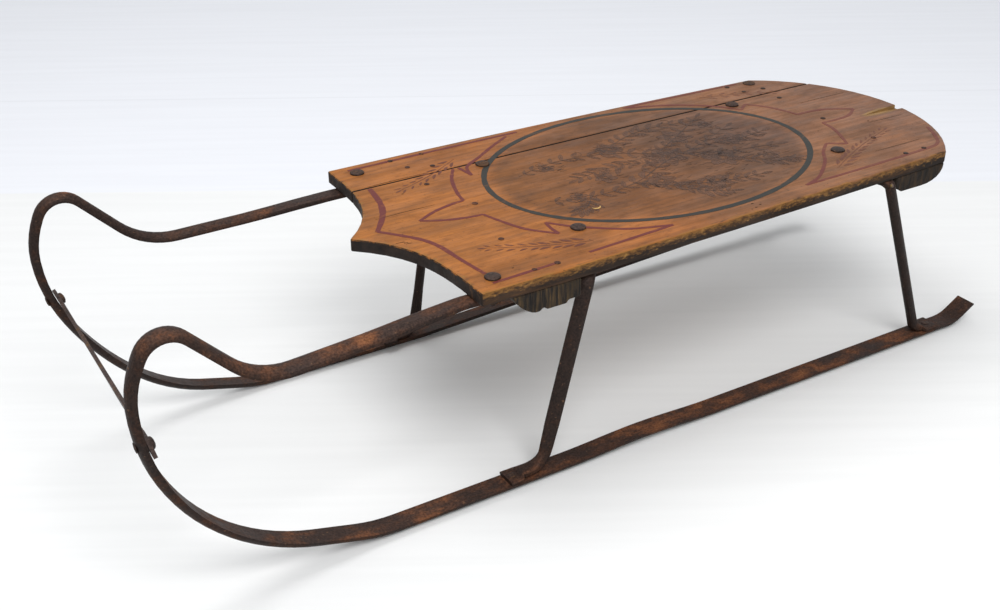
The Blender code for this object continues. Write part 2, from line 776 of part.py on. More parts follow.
def build():
    clear_scene()
    sled = make_collection(COLLECTION)
    cutters = make_collection(CUTTERS)
    paint = make_material("varnished_pine", (0.44, 0.22, 0.08), 0.5, 0.0)
    far_paint = make_material("varnished_pine_strip", (0.40, 0.20, 0.075), 0.5, 0.0)
    batten = make_material("dark_batten", (0.05, 0.035, 0.022), 0.75, 0.0)
    runner_iron = make_material("rusty_runner_iron", (0.07, 0.035, 0.02), 0.6, 0.7)
    bench_iron = make_material("rusty_bench_iron", (0.05, 0.03, 0.022), 0.65, 0.7)
    strap_iron = make_material("rusty_strap_iron", (0.06, 0.035, 0.022), 0.65, 0.7)

    half_split = SPLIT_WIDTH / 2
    board = make_deck_board("deck_board_left", -SPLIT_OFFSET + half_split, -1, paint, sled)
    chip_edge(board, cutters)
    make_deck_board("deck_board_right", -SPLIT_OFFSET - half_split, 1, far_paint, sled)
    make_cleat("cleat_front", FRONT_CLEAT_SETBACK, FRONT_CLEAT_LENGTH, FRONT_CLEAT_THICKNESS,
               front_cleat_profiles(), batten, sled)
    make_cleat("cleat_rear", REAR_CLEAT_SETBACK, REAR_CLEAT_LENGTH, REAR_CLEAT_THICKNESS,
               rear_cleat_profiles(), batten, sled)
    left_line, right_line = runner_line(LEFT_RUNNER), runner_line(RIGHT_RUNNER)
    make_runner("runner_left", LEFT_RUNNER, left_line, runner_iron, sled)
    make_runner("runner_right", RIGHT_RUNNER, right_line, runner_iron, sled)
    make_bench("bench_iron_front", FRONT_BENCH, bench_iron, sled)
    make_bench("bench_iron_rear", REAR_BENCH, bench_iron, sled)
    make_spreader("spreader_strap", left_line, right_line, strap_iron, sled)


build()
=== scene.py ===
import math
import random

import bmesh
import bpy
from mathutils import Matrix, Vector


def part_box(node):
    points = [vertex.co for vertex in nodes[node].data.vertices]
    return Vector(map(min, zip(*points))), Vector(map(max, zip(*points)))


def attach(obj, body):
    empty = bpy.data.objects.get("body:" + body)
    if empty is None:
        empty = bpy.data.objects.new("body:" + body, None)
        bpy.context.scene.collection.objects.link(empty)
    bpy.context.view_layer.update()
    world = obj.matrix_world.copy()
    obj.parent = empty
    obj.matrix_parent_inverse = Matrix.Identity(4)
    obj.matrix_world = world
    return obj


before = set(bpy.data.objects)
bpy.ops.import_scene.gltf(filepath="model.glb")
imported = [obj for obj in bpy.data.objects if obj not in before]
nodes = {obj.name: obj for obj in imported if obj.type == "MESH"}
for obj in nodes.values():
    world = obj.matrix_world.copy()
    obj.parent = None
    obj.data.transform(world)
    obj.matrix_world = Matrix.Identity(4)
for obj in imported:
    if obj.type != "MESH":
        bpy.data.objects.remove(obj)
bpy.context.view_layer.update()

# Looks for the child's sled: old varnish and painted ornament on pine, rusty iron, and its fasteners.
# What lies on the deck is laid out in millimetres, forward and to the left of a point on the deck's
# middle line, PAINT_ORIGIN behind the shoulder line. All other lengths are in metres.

MM = 0.001
UP = Vector((0, 0, 1))
DOWN = Vector((0, 0, -1))

# The deck as the solids have it. The shoulder line joins its front corners, and the front cleat lies
# FRONT_CLEAT_SETBACK behind it. The scooped front edge reaches its point ahead of the line.
FRONT_CLEAT_SETBACK = 0.0289
SHOULDER_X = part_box("cleat_front")[1].x + FRONT_CLEAT_SETBACK
PAINT_ORIGIN = 0.166
PAINT_X = SHOULDER_X - PAINT_ORIGIN
DECK_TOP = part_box("deck_board_left")[1].z
DECK_HALF = 0.141
DECK_NARROWING = 0.0135
DECK_SIDE = 0.524
POINT_REACH = 0.0448
SCOOP_POWER = 3.6
SPLIT_Y = -0.086

# The splinter missing from the rear edge: the pale hollow on top, and the middle of its fresh edges.
HOLLOW_CENTRE = (-385, 17.0)
HOLLOW_HALF = (24, 6.5)
CHIP = (-391, 16.5)
CHIP_REACH = 0.060

# Bolts as deck places, with the solid that each one's nut sits under.
FLUSH_BOLT = (-325.1, -119.6)
BOLTS = [
    ((144.8, -121.7), "runner_right"),
    ((145.1, 121.4), "runner_left"),
    ((35.6, -78.5), "bench_iron_front"),
    ((36.8, 82.0), "bench_iron_front"),
    ((-271.4, 71.3), "bench_iron_rear"),
    ((-266.1, -77.7), "bench_iron_rear"),
    (FLUSH_BOLT, "cleat_rear"),
]
# The radius of the dark stain round each bolt.
BOLT_STAIN = 0.014
NAILS = [
    (105.8, -131.2), (72.4, -131.5), (99, -109.3), (77.1, -100.2), (102.1, -65.5), (86.2, -6.2),
    (103.6, 66.4), (109.8, 127.5), (87.8, 127.2), (-296.8, -122.3), (-302.9, -101.9),
    (-327.3, -99.2), (-322.8, -68.3), (-319.2, 0.9), (-324.2, 66), (-321.1, 111.1), (-345.8, 110.8),
]

# Heads: radius, height, the power that flattens the dome, and how deep the foot is sunk.
BOLT_HEAD = (0.0068, 0.0022, 0.40, 0.0003)
FLUSH_BOLT_HEAD = (0.0068, 0.0012, 0.40, 0.0003)
STRAP_RIVET_HEAD = (0.0050, 0.0030, 0.7, 0.0004)
STRAP_RIVET_TAIL = (0.0042, 0.0010, 0.6, 0.0006)
FOOT_RIVET_HEAD = (0.0040, 0.0009, 0.6, 0.0004)
LEG_RIVET_HEAD = (0.0021, 0.0012, 0.7, 0.0006)
NAIL_RADII = (0.0023, 0.0030)
NAIL_HEIGHT, NAIL_FLATNESS, NAIL_SINK = 0.0006, 0.5, 0.0003
NAIL_SIDES = 12
# How unevenly heads are hammered, as shares of their radius and height.
KNOCK_ASIDE = 0.035
KNOCK_DOWN = 0.06
# Edges that meet at a smaller angle, in degrees, are shaded smooth.
HEAD_ANGLE = 40
NUT_ANGLE = 35

# Bevels are shares of the nut's side and the bolt's radius. BOLT_IN_NUT is how far the two overlap.
NUT_SIDE = 0.0105
NUT_HEIGHT = 0.0045
NUT_BEVEL = 0.07
BOLT_RADIUS = 0.0027
BOLT_REACH = 0.0035
BOLT_BEVEL = 0.3
BOLT_IN_NUT = 0.0005

# Rivets: the runner, y and z at the spreader strap's lugs, then how far a foot's rivet is set in from
# its toe, which points forward at the front and backward at the rear, then the left rear leg's.
STRAP_RIVETS = [("runner_left", 0.132, 0.153), ("runner_right", -0.132, 0.1435)]
FOOT_RIVETS = [("bench_iron_front", 0.0060), ("bench_iron_rear", -0.0078)]
FOOT_RIVET_Y = 0.132
FOOT_TOP = 0.045
LEG_RIVET_X = -0.293
LEG_RIVET_Z = 0.1832

# Where the straight lines that find a seat start: their height under the deck and over the feet, and
# their distance from the strap.
BELOW_DECK = 0.1
OVER_FEET = 0.05
OFF_STRAP = 0.05

# Heights of the painted shapes over the board, and how deep all of them reach into it. Crossing
# shapes of one piece take one of RISES slightly unlike heights.
PAINT_DEPTH = 0.0003
OVAL_HEIGHT = 0.00016
BORDER_HEIGHT = 0.00012
BRACKET_HEIGHT = 0.00014
FERN_HEIGHT = 0.00009
FILL_HEIGHT = 0.00002
INK_HEIGHT = 0.00009
CRACK_HEIGHT = 0.00011
NICK_HEIGHT = 0.00032
RISES = 31
RISE_STEP = 0.000002

# Widths of brush lines in deck millimetres.
OVAL_WIDTH = 5.4
LINE_WIDTH = 3.5
FERN_STEM_WIDTH = 1.1
STEM_WIDTH = 1.0
CURL_WIDTH = 0.6
STROKE_WIDTH = 0.5
OUTLINE_WIDTH = 0.42
RIB_WIDTH = 0.38
VEIN_WIDTH = 0.35
HAIRLINE_WIDTH = 0.45
ZIGZAG_WIDTH = 1.0
NICK_WIDTH = 1.5
# The share of its width by which a wobbling line varies, the corners of a painted leaf, and the
# length above which it has veins.
BRUSH_WOBBLE = 0.12
BLADE_SIDES = 14
VEINED_LENGTH = 11

OVAL_CENTRE = (-105, -5)
OVAL_HALF = (168, 121)
OVAL_STEPS = 120

# Border and bracket lines as deck places. The two front border lines have widths of their own.
FRONT_BORDER = [
    (5.6, [(151, -83), (157, -50), (167.5, -25), (185, 0)]),
    (4.4, [(185, 0), (176, 11), (161, 32), (154, 52), (151, 82), (147, 113)]),
]
SIDE_BORDER = [
    [(150, 130), (120, 128.5), (86, 127)],
    [(55, 125), (10, 122.5), (-35, 120)],
    [(150, -131), (60, -131.5), (-35, -131)],
    [(-164, -130), (-240, -128), (-312, -125)],
    [(-189, 117), (-270, 115.5), (-341, 113), (-366, 109), (-382, 90), (-391, 73)],
]
BRACKETS = [
    [(144.6, 0), (125, 10), (105, 15.5), (91.7, 17)],
    [(91.7, 17), (86, 36), (76, 61), (57, 83)],
    [(57, 83), (57, 71), (55, 59)],
    [(55, 59), (42, 75), (30, 86), (1, 107), (-35, 120)],
    [(144.6, 0), (125, -10), (105, -15.5), (91.7, -17)],
    [(91.7, -17), (88, -35), (78, -62), (65, -83)],
    [(59, -83), (58, -72), (57, -62)],
    [(57, -62), (51, -81), (30, -95), (5, -112), (-20, -127)],
    [(-365, -3), (-352, -11), (-337, -18), (-320, -21), (-305, -21)],
    [(-305, -21), (-301, -35), (-293, -54), (-279, -72)],
    [(-279, -72), (-272, -67), (-265, -61)],
    [(-265, -61), (-249, -83), (-220, -106), (-191, -120), (-164, -130)],
    [(-365, -3), (-349, 7.5), (-330, 10.5), (-310, 10)],
    [(-310, 10), (-309, 23), (-303, 40), (-291, 64)],
    [(-291, 64), (-283, 58), (-274, 53)],
    [(-274, 53), (-257, 67), (-241, 86), (-212, 109), (-189, 117)],
]

# Fern sprigs in the deck's corners: the stem's two ends, leaf pairs and leaf length. FERN_BOW is how
# far the stem bows aside, and how far its leaves stand off it.
FERNS = [
    ((40, 109), (122, 75), 9, 15),
    ((52, -104), (128, -66), 8, 14),
    ((-241, 103), (-347, 57), 11, 16),
    ((-250, -112), (-330, -84), 6, 12),
]
FERN_BOW = 3.0
FERN_STEPS = 8

# The painted spray inside the oval: stems as deck places, then blossoms as place, radius and petals.
SPRAY_STEMS = [
    [(30, 24), (-8, 36), (-60, 32), (-112, 8), (-168, -10), (-222, -34)],
    [(22, -36), (-20, -47), (-72, -40), (-120, -14), (-172, 14), (-234, 28)],
    [(-60, 32), (-88, 54), (-130, 70), (-172, 76)],
    [(-72, -40), (-110, -60), (-150, -70), (-196, -64)],
    [(-150, 2), (-182, 36), (-206, 60), (-226, 64)],
    [(-112, 8), (-84, -6), (-50, -8), (-20, -2)],
    [(-120, -14), (-162, -38), (-212, -70)],
    [(-168, -10), (-208, -2), (-244, -6)],
    [(-8, 36), (4, 50), (18, 56)],
    [(-88, 54), (-104, 78), (-124, 90)],
]
BLOSSOMS = [
    ((-120, -2), 21, 6), ((-166, 27), 19, 6), ((-160, -38), 18, 6), ((-84, 41), 15, 5),
    ((-86, -47), 14, 5), ((-205, -6), 15, 6), ((-44, 8), 11, 5), ((-128, 66), 12, 5),
    ((-210, 44), 11, 5), ((-206, -50), 10, 5), ((-10, -38), 8, 5), ((0, 30), 8, 5),
]

# Damage: a zigzag crack by the front point, hairline splits, dark picks (x, y, length) and a nick.
ZIGZAG = [(170, 34), (174, 33), (172.5, 31.5), (176, 31), (174.5, 29), (182, 28)]
HAIRLINES = [
    [(150, -88), (120, -88.6), (88, -88.2)],
    [(176, -22), (150, -23), (118, -22.6)],
    [(-352, 34), (-378, 34.6), (-396, 35)],
    [(-330, -44), (-362, -44.6), (-392, -44.2)],
    [(-300, 92), (-332, 92.5), (-360, 92.2)],
]
PICKS = [
    (-119, 122, 3.0), (-117, 130, 2.4), (-112, 131, 1.8), (-124, 127, 2.6), (-78, 113, 3.4),
    (124, 116, 2.0), (60, 96, 1.6), (-352, 30, 2.2), (-290, 24, 1.8), (132, -58, 2.4),
]
PICK_HEADING = 2.9
PICK_BOW = 0.1
NICK_CENTRE = (0, 55)
NICK_RADIUS = 4.2

# Seeds of the random draws.
OVAL_SEED, LINES_SEED, FERNS_SEED, SPRAY_SEED = 3, 5, 11, 23
BOLTS_SEED, NAILS_SEED, NUTS_SEED, RIVETS_SEED = 31, 37, 41, 43

# The camera's lens and place: forward of the shoulder line, left of the middle, above the floor.
CAMERA_LENS = 47.26
CAMERA_PLACE = (0.4482, 0.9052, 0.6805)
CAMERA_AHEAD = Vector((-0.4541, -0.748, -0.4841))
CAMERA_ROLL = 0.0039

# The floor, where the pale backdrop starts on it, the direction that its edge runs in, and how far
# behind that edge a faint joint follows.
FLOOR_HALF = 9.0
FLOOR_DROP = 0.0003
BACKDROP_EDGE = (-0.1962, -0.4122)
BACKDROP_RUN = Vector((-0.866, 0.4998))
BACKDROP_JOINT = 0.34
FLOOR_COLOUR = (0.87, 0.87, 0.865, 1)
BACKDROP_COLOUR = (0.86, 0.87, 0.91, 1)

SKY_COLOUR = (0.96, 0.98, 1.0, 1)
SKY_STRENGTH = 0.66
# Lamps by name, place and watts.
LAMP_SIZE = 1.2
LAMP_AIM = (-0.1, 0, 0)
LAMPS = [("near_softbox", (0.36, 1.35, 1.80), 26), ("far_softbox", (0.30, -0.60, 2.05), 12)]


def linear(red, green, blue):
    """A screen colour of 0 to 255 as the linear colour that a shader takes."""
    shares = [value / 255 for value in (red, green, blue)]
    return tuple(s / 12.92 if s <= 0.04045 else ((s + 0.055) / 1.055) ** 2.4 for s in shares) + (1.0,)


def on_deck(forward, left, rise=0.0):
    """A place on the deck's top from its layout millimetres."""
    return Vector((PAINT_X + forward * MM, left * MM, DECK_TOP + rise))


def around(place, reach, angle):
    """A flat point at a distance and an angle from a place."""
    return place[0] + reach * math.cos(angle), place[1] + reach * math.sin(angle)


def axes(heading):
    """Flat directions along a heading and to its left."""
    along = Vector((math.cos(heading), math.sin(heading)))
    return along, Vector((-along.y, along.x))


class Shading:
    """One material and the nodes that are added to it."""

    def __init__(self, name, roughness, metallic=0.0, gloss=0.3):
        self.material = bpy.data.materials.new(name)
        self.material.use_nodes = True
        self.tree = self.material.node_tree
        self.shader = self.tree.nodes["Principled BSDF"]
        self.shader.inputs["Roughness"].default_value = roughness
        self.shader.inputs["Metallic"].default_value = metallic
        self.shader.inputs["Specular IOR Level"].default_value = gloss
        self.place = self.tree.nodes.new("ShaderNodeTexCoord").outputs["Object"]
        self.x, self.y, self.z = self.split(self.place)

    def fill(self, node, name, value):
        """Links a socket to a node's input, or sets the input to a number or colour."""
        if isinstance(value, bpy.types.NodeSocket):
            self.tree.links.new(value, node.inputs[name])
        else:
            node.inputs[name].default_value = value

    def split(self, vector):
        """The x, y and z of a vector."""
        node = self.tree.nodes.new("ShaderNodeSeparateXYZ")
        self.tree.links.new(vector, node.inputs[0])
        return node.outputs[0], node.outputs[1], node.outputs[2]

    def normal(self):
        """How far the surface faces forward, left and up."""
        return self.split(self.tree.nodes.new("ShaderNodeNewGeometry").outputs["Normal"])

    def calc(self, operation, first, second=0.0, third=0.0, clamp=False):
        """One arithmetic node."""
        node = self.tree.nodes.new("ShaderNodeMath")
        node.operation = operation
        node.use_clamp = clamp
        for index, value in enumerate((first, second, third)):
            self.fill(node, index, value)
        return node.outputs[0]

    def product(self, first, *others):
        """Multiplies shares, so that the result is high only where all of them are."""
        for value in others:
            first = self.calc("MULTIPLY", first, value)
        return first

    def length(self, across, up):
        """How long a flat vector is."""
        squares = self.calc("ADD", self.product(across, across), self.product(up, up))
        return self.calc("SQRT", squares)

    def stir(self, value, noise, amount):
        """Moves a value up and down with a noise that swings about its middle."""
        return self.calc("MULTIPLY_ADD", self.calc("SUBTRACT", noise, 0.5), amount, value)

    def fade(self, value, low, high, start=0.0, stop=1.0):
        """Runs from start to stop while the value runs from low to high."""
        node = self.tree.nodes.new("ShaderNodeMapRange")
        node.interpolation_type = "SMOOTHSTEP"
        for name, given in (("Value", value), ("From Min", low), ("From Max", high),
                            ("To Min", start), ("To Max", stop)):
            self.fill(node, name, given)
        return node.outputs[0]

    def noise(self, scales, detail=3.0, rough=0.5, shift=(0.0, 0.0, 0.0)):
        """Noise with its own number of waves in a metre along x, y and z."""
        mapping = self.tree.nodes.new("ShaderNodeMapping")
        self.fill(mapping, "Vector", self.place)
        self.fill(mapping, "Scale", scales)
        self.fill(mapping, "Location", shift)
        node = self.tree.nodes.new("ShaderNodeTexNoise")
        self.fill(node, "Vector", mapping.outputs[0])
        self.fill(node, "Scale", 1.0)
        self.fill(node, "Detail", detail)
        self.fill(node, "Roughness", rough)
        return node.outputs["Fac"]

    def ramp(self, value, stops):
        """Turns a value into a colour that runs through the stops."""
        node = self.tree.nodes.new("ShaderNodeValToRGB")
        self.fill(node, "Fac", value)
        colours = node.color_ramp.elements
        while len(colours) < len(stops):
            colours.new(0.5)
        for colour, (place, shade) in zip(colours, stops):
            colour.position = place
            colour.color = shade
        return node.outputs["Color"]

    def blend(self, share, first, second, kind="MIX"):
        """Mixes two colours. A colour Mix node has its share at input 0, its colours at 6 and 7."""
        node = self.tree.nodes.new("ShaderNodeMix")
        node.data_type = "RGBA"
        node.blend_type = kind
        self.fill(node, 0, share)
        self.fill(node, 6, first)
        self.fill(node, 7, second)
        return node.outputs[2]

    def tint(self, share, colour, tone):
        """Multiplies a colour by a tone, as far as the share says."""
        return self.blend(share, colour, self.blend(1.0, colour, tone + (1.0,), "MULTIPLY"))

    def shade(self, colour, value, low, high, dark, light):
        """Multiplies a colour by a grey that runs from dark to light with a value."""
        greys = [(0, (dark, dark, dark, 1)), (1, (light, light, light, 1))]
        return self.blend(1.0, colour, self.ramp(self.fade(value, low, high), greys), "MULTIPLY")

    def bump(self, height, strength, distance):
        """A normal that follows a height."""
        node = self.tree.nodes.new("ShaderNodeBump")
        self.fill(node, "Height", height)
        self.fill(node, "Strength", strength)
        self.fill(node, "Distance", distance)
        return node.outputs[0]

    def wear(self, colour, roughness=None, normal=None):
        """Sends the finished colour, roughness and normal to the shader."""
        for name, value in (("Base Color", colour), ("Roughness", roughness), ("Normal", normal)):
            if value is not None:
                self.tree.links.new(value, self.shader.inputs[name])
        return self.material


def behind_shoulders(look):
    """How far a place lies behind the shoulder line."""
    return look.calc("SUBTRACT", SHOULDER_X, look.x)


def deck_rim(look):
    """How far a place on the deck's top lies inside its sides and its scooped front edge."""
    back = behind_shoulders(look)
    off_middle = look.calc("ABSOLUTE", look.y)
    along = look.calc("DIVIDE", back, DECK_SIDE)
    narrowing = look.product(along, along, DECK_NARROWING)
    sides = look.calc("SUBTRACT", look.calc("SUBTRACT", DECK_HALF, narrowing), off_middle)
    share = look.calc("DIVIDE", off_middle, DECK_HALF)
    inward = look.calc("MAXIMUM", look.calc("SUBTRACT", 1.0, share), 0.0)
    scoop = look.product(look.calc("POWER", inward, SCOOP_POWER), POINT_REACH)
    return look.calc("MINIMUM", sides, look.calc("ADD", scoop, back))


def from_place(look, place):
    """How far forward and left of a deck place the shaded point is, in metres."""
    across = look.calc("SUBTRACT", look.x, PAINT_X + place[0] * MM)
    return across, look.calc("SUBTRACT", look.y, place[1] * MM)


def in_ellipse(look, centre, half, start, stop, ragged=0.0):
    """1 inside an ellipse in deck millimetres and 0 outside, fading between two shares of its size."""
    across, up = from_place(look, centre)
    across = look.calc("DIVIDE", across, half[0] * MM)
    up = look.calc("DIVIDE", up, half[1] * MM)
    span = look.length(across, up)
    if ragged:
        tears = look.noise((60, 260, 260), 4, 0.65, (1, 1, 4))
        span = look.calc("MULTIPLY_ADD", tears, ragged, span)
    return look.fade(span, start, stop, 1.0, 0.0)


def near(look, place, radius):
    """1 at a deck place and 0 from a radius outwards."""
    across, up = from_place(look, place)
    return look.fade(look.length(across, up), 0.0, radius, 1.0, 0.0)


def varnished_top(look):
    """Golden varnish at the front that has gone dull and brown towards the rear, with fine grain."""
    drift = look.noise((5, 9, 9), 3, 0.6, (3, 1, 0))
    where = look.stir(behind_shoulders(look), drift, 0.30)
    colour = look.ramp(look.fade(where, -0.07, 0.62), [
        (0.0, linear(160, 98, 41)),
        (0.30, linear(152, 92, 43)),
        (0.55, linear(140, 91, 54)),
        (1.0, linear(129, 89, 65)),
    ])
    blotch = look.noise((15, 30, 30), 6, 0.65)
    colour = look.shade(colour, blotch, 0.38, 0.64, 0.76, 1.14)
    smudge = look.noise((48, 90, 90), 5, 0.7, (8, 2, 6))
    colour = look.tint(look.fade(smudge, 0.52, 0.68, 0.0, 0.65), colour, (0.62, 0.58, 0.50))
    inside = in_ellipse(look, OVAL_CENTRE, OVAL_HALF, 0.90, 1.0)
    inside = look.product(inside, look.fade(where, 0.05, 0.28, 0.85, 1.0))
    colour = look.tint(inside, colour, (0.60, 0.65, 0.80))
    wash = look.product(in_ellipse(look, (-168, 4), (88, 78), 0.2, 1.3, 0.5), 0.75)
    colour = look.tint(wash, colour, (0.74, 0.76, 0.84))
    grain = look.noise((5, 190, 190), 4, 0.6)
    colour = look.shade(colour, grain, 0.34, 0.68, 0.84, 1.13)
    fibres = look.noise((14, 900, 900), 2, 0.5)
    colour = look.shade(colour, fibres, 0.25, 0.55, 0.86, 1.0)
    pores = look.noise((70, 520, 520), 2, 0.5, (7, 0, 0))
    colour = look.shade(colour, pores, 0.62, 0.74, 1.0, 0.72)
    specks = look.noise((330, 430, 430), 1, 0.5, (0, 5, 0))
    colour = look.shade(colour, specks, 0.67, 0.75, 1.0, 0.50)
    stain = 0.0
    for place, _ in BOLTS:
        stain = look.calc("MAXIMUM", stain, near(look, place, BOLT_STAIN))
    return look.tint(look.product(stain, 0.5), colour, (0.42, 0.36, 0.34)), grain


def board_edge(look, weather, from_split, facing_ahead, facing_left, fresh):
    """The boards' edges: dark and weathered, rubbed pale near the top, with end grain at the ends."""
    side = look.ramp(weather, [
        (0.28, linear(20, 13, 9)),
        (0.48, linear(38, 25, 16)),
        (0.62, linear(62, 41, 23)),
        (0.78, linear(108, 74, 36)),
    ])
    side = look.shade(side, behind_shoulders(look), 0.05, 0.45, 1.05, 0.70)
    crumbs = look.noise((170, 420, 420), 4, 0.7, (6, 3, 8))
    high = look.stir(look.z, crumbs, 0.014)
    worn = look.fade(high, DECK_TOP - 0.0075, DECK_TOP - 0.0015, 0.0, 0.9)
    side = look.blend(worn, side, look.ramp(crumbs, [
        (0.30, linear(66, 43, 21)),
        (0.46, linear(100, 67, 31)),
        (0.60, linear(126, 88, 42)),
        (0.76, linear(178, 136, 72)),
    ]))
    side = look.blend(look.fade(from_split, 0.001, 0.004, 1.0, 0.0), side, linear(20, 13, 9))
    sideways = look.fade(look.calc("ABSOLUTE", facing_left), 0.5, 0.8)
    by_chip = look.fade(near(look, CHIP, CHIP_REACH), 0.0, 0.05)
    side = look.blend(look.product(by_chip, sideways), side, fresh)
    end_grain = look.ramp(look.noise((60, 90, 60), 4, 0.7), [
        (0.3, linear(22, 16, 14)), (0.6, linear(42, 31, 25)), (0.8, linear(90, 62, 36)),
    ])
    return look.blend(look.fade(look.calc("ABSOLUTE", facing_ahead), 0.25, 0.6), side, end_grain)


def deck_finish(name):
    """The pine boards: varnish on top, chipped arrises, dark edges, a raw underside and a fresh chip."""
    look = Shading(name, 0.5, gloss=0.25)
    colour, grain = varnished_top(look)
    facing_ahead, facing_left, upward = look.normal()

    rim = deck_rim(look)
    flecks = look.noise((55, 210, 210), 4, 0.7, (2, 2, 2))
    rub = look.stir(rim, flecks, 0.020)
    colour = look.blend(look.fade(rub, -0.0004, 0.0030, 0.7, 0.0), colour, linear(140, 96, 42))
    grime = look.noise((32, 120, 120), 4, 0.7, (9, 4, 1))
    grimed = look.product(look.fade(rim, 0.0005, 0.0050, 1.0, 0.0), look.fade(grime, 0.52, 0.66))
    colour = look.blend(grimed, colour, linear(62, 42, 30))

    fresh = look.ramp(grain, [(0.3, linear(118, 84, 46)), (0.7, linear(158, 124, 76))])
    fresh = look.shade(fresh, flecks, 0.35, 0.65, 0.8, 1.1)
    hollow = in_ellipse(look, HOLLOW_CENTRE, HOLLOW_HALF, 1.20, 1.50, 0.6)
    colour = look.blend(look.product(hollow, 0.85), colour, fresh)
    chipped = look.fade(look.z, DECK_TOP - 0.0009, DECK_TOP - 0.0003, 1.0, 0.0)
    colour = look.blend(look.product(chipped, look.fade(upward, 0.94, 0.97)), colour, fresh)

    from_split = look.calc("ABSOLUTE", look.calc("SUBTRACT", look.y, SPLIT_Y))
    split_line = look.stir(from_split, grime, 0.0012)
    colour = look.blend(look.fade(split_line, 0.0009, 0.0016, 0.95, 0.0), colour, linear(16, 11, 8))

    weather = look.noise((16, 60, 150), 5, 0.65, (1, 7, 3))
    side = board_edge(look, weather, from_split, facing_ahead, facing_left, fresh)
    edge = look.stir(upward, flecks, 1.5)
    colour = look.blend(look.fade(edge, 0.25, 0.70, 1.0, 0.0), colour, side)
    raw = look.ramp(grain, [(0.3, linear(88, 66, 48)), (0.7, linear(142, 112, 80))])
    raw = look.shade(raw, weather, 0.3, 0.7, 0.75, 1.1)
    colour = look.blend(look.fade(upward, -0.8, -0.5, 1.0, 0.0), colour, raw)

    rough = look.fade(look.noise((24, 70, 70), 3, 0.6), 0.3, 0.7, 0.36, 0.58)
    rough = look.calc("ADD", rough, look.fade(upward, 0.4, 0.9, 0.25, 0.0), clamp=True)
    relief = look.calc("MULTIPLY_ADD", look.noise((9, 330, 330), 3, 0.6), 0.6, flecks)
    return look.wear(colour, rough, look.bump(relief, 0.30, 0.0006))


def worn_paint(name, paint, strength, gaps, rear_share=0.7):
    """Paint that has worn thin, so that the varnish below shows through it."""
    look = Shading(name, 0.5)
    colour, grain = varnished_top(look)
    worn = look.noise((60, 240, 240), 4, 0.7, (4, 8, 2))
    share = look.product(
        look.fade(worn, gaps, gaps + 0.16, strength * 0.5, strength),
        look.fade(grain, 0.28, 0.45, 0.75, 1.0),
        look.fade(behind_shoulders(look), 0.25, 0.52, 1.0, rear_share),
    )
    return look.wear(look.blend(share, colour, paint), None, look.bump(worn, 0.15, 0.0003))


def iron_finish(name, rust, lift):
    """Forged iron: dark skin, brown and orange rust in patches, fine pits, and a painted sheen on top
    with painted shade below.

    Rust adds to the patches, which are larger on the left neck and the feet. Lift pales the skin.
    """
    look = Shading(name, 0.62, 0.35, 0.20)
    patches = look.calc("ADD", look.noise((26, 48, 34), 6, 0.68), rust)
    neck = look.product(
        look.fade(look.z, 0.165, 0.185),
        look.fade(look.x, 0.10, 0.20),
        look.fade(look.x, 0.30, 0.36, 1.0, 0.0),
        look.fade(look.y, 0.0, 0.05),
    )
    feet = look.product(
        look.fade(look.z, 0.012, 0.040, 1.0, 0.0),
        look.fade(look.y, -0.1, 0.1, 0.4, 1.0),
    )
    patches = look.calc("MULTIPLY_ADD", neck, 0.07, patches)
    patches = look.calc("MULTIPLY_ADD", feet, 0.06, patches)
    colour = look.ramp(patches, [
        (0.32, linear(40 + lift, 31 + lift, 28 + lift)),
        (0.52, linear(50 + lift, 37 + lift, 32 + lift)),
        (0.61, linear(66 + lift, 45 + lift, 35)),
        (0.70, linear(94, 60, 41)),
        (0.84, linear(128, 84, 52)),
    ])
    pits = look.noise((520, 520, 520), 3, 0.6)
    colour = look.shade(colour, pits, 0.32, 0.64, 0.62, 1.22)
    _, _, upward = look.normal()
    # Painted light and shade: faces that look up are lightened up to 1.55 times, as a sheen from above,
    # and faces that look sideways or down are darkened to 0.72, as shade.
    colour = look.shade(colour, upward, -0.1, 0.9, 0.72, 1.55)
    dust = look.noise((260, 380, 380), 3, 0.6, (5, 5, 5))
    colour = look.blend(look.fade(dust, 0.62, 0.76, 0.0, 0.40), colour, linear(150, 112, 82))
    hammer = look.calc("MULTIPLY_ADD", look.noise((70, 110, 110), 2, 0.5), 2.2, pits)
    rough = look.fade(patches, 0.35, 0.75, 0.44, 0.80)
    return look.wear(colour, rough, look.bump(hammer, 0.35, 0.0005))


def batten_finish(name, ridges, lift):
    """Weathered pine battens, grey-brown, with upright fissures in their end grain.

    Ridges sets how close the fissures are. Lift pales and deepens the ridges between them.
    """
    look = Shading(name, 0.8)
    _, facing_left, _ = look.normal()
    grain = look.noise((210, 6, 160), 4, 0.6)
    colour = look.ramp(grain, [
        (0.28, linear(28, 22, 17)), (0.50, linear(54, 42, 31)), (0.72, linear(84, 66, 46)),
    ])
    fissures = look.noise((ridges, 12, 36), 3, 0.65, (0.4, 0, 0))
    ends = look.ramp(fissures, [
        (0.36, linear(15, 11, 8)),
        (0.47, linear(30 + lift, 21 + lift, 13 + lift)),
        (0.60, linear(46 + 2 * lift, 32 + 2 * lift, 19 + lift)),
        (0.74, linear(66 + 3 * lift, 45 + 3 * lift, 28 + 2 * lift)),
    ])
    end = look.fade(look.calc("ABSOLUTE", facing_left), 0.5, 0.8)
    colour = look.blend(end, colour, ends)
    blotch = look.noise((60, 60, 60), 4, 0.6)
    colour = look.shade(colour, blotch, 0.3, 0.7, 0.70, 1.12)
    depth = look.product(look.fade(fissures, 0.36, 0.5), end)
    relief = look.calc("MULTIPLY_ADD", depth, lift / 4, grain)
    return look.wear(colour, None, look.bump(relief, 0.6, 0.0008))


